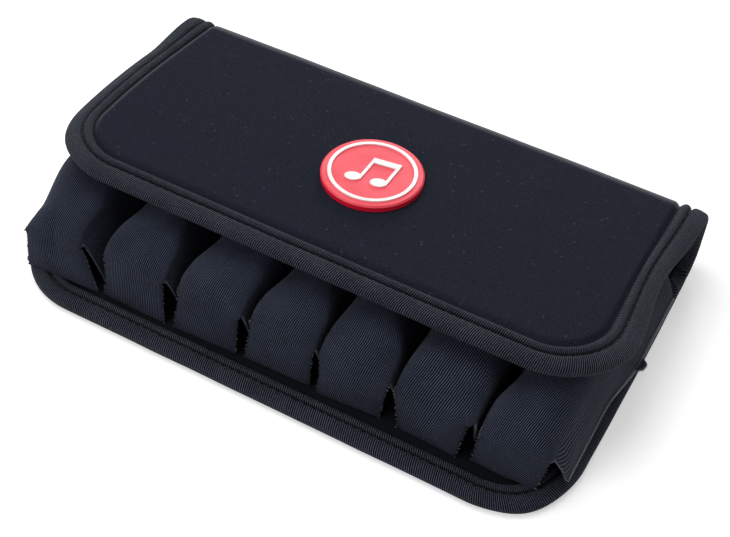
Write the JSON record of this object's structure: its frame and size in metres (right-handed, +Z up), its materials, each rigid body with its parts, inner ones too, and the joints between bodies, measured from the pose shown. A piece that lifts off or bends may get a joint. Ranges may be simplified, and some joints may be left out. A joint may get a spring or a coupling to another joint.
{
  "type": "harmonica case",
  "caption": "Soft fold-over case with a row of elastic pockets for small harmonicas, a padded lid hinged by its fold and a round badge.",
  "frame": {"origin": "middle of the footprint, on the surface that the base rests on", "axes": "+X along the row of pockets, to the right as seen from the front; +Y from the open front to the fold; +Z up"},
  "size_m": [0.2254, 0.138, 0.0414],
  "materials": {
    "shell_fabric": "smooth black knit bonded to foam",
    "lining_fabric": "fine matt knit",
    "binding_tape": "ribbed woven tape",
    "pocket_fabric": "ribbed elastic twill",
    "hook_tape": "moulded hooks",
    "badge_red": "satin moulded",
    "badge_white": "satin moulded"
  },
  "bodies": {
    "base": {"base_panel": "shell_fabric", "base_lining": "lining_fabric", "base_binding": "binding_tape", "pocket_1": "pocket_fabric", "pocket_2": "pocket_fabric", "pocket_3": "pocket_fabric", "pocket_4": "pocket_fabric", "pocket_5": "pocket_fabric", "pocket_6": "pocket_fabric", "pocket_7": "pocket_fabric"},
    "spine": {"spine_panel": "shell_fabric", "spine_lining": "lining_fabric", "spine_binding_left": "binding_tape", "spine_binding_right": "binding_tape"},
    "lid": {"lid_panel": "shell_fabric", "lid_lining": "lining_fabric", "lid_binding": "binding_tape", "hook_strip_left": "hook_tape", "hook_strip_right": "hook_tape", "badge_disc": "badge_red", "badge_ring": "badge_white", "badge_note": "badge_white"}
  },
  "joints": [
    {"name": "spine_fold", "type": "hinge", "parent": "base", "child": "spine", "pos_m": [0, 0.06549, 0.00351], "axis": [-1, 0, 0], "range_deg": [0, 88]},
    {"name": "lid_fold", "type": "hinge", "parent": "spine", "child": "lid", "pos_m": [0, 0.06669, 0.02852], "axis": [-1, 0, 0], "range_deg": [0, 84]}
  ]
}
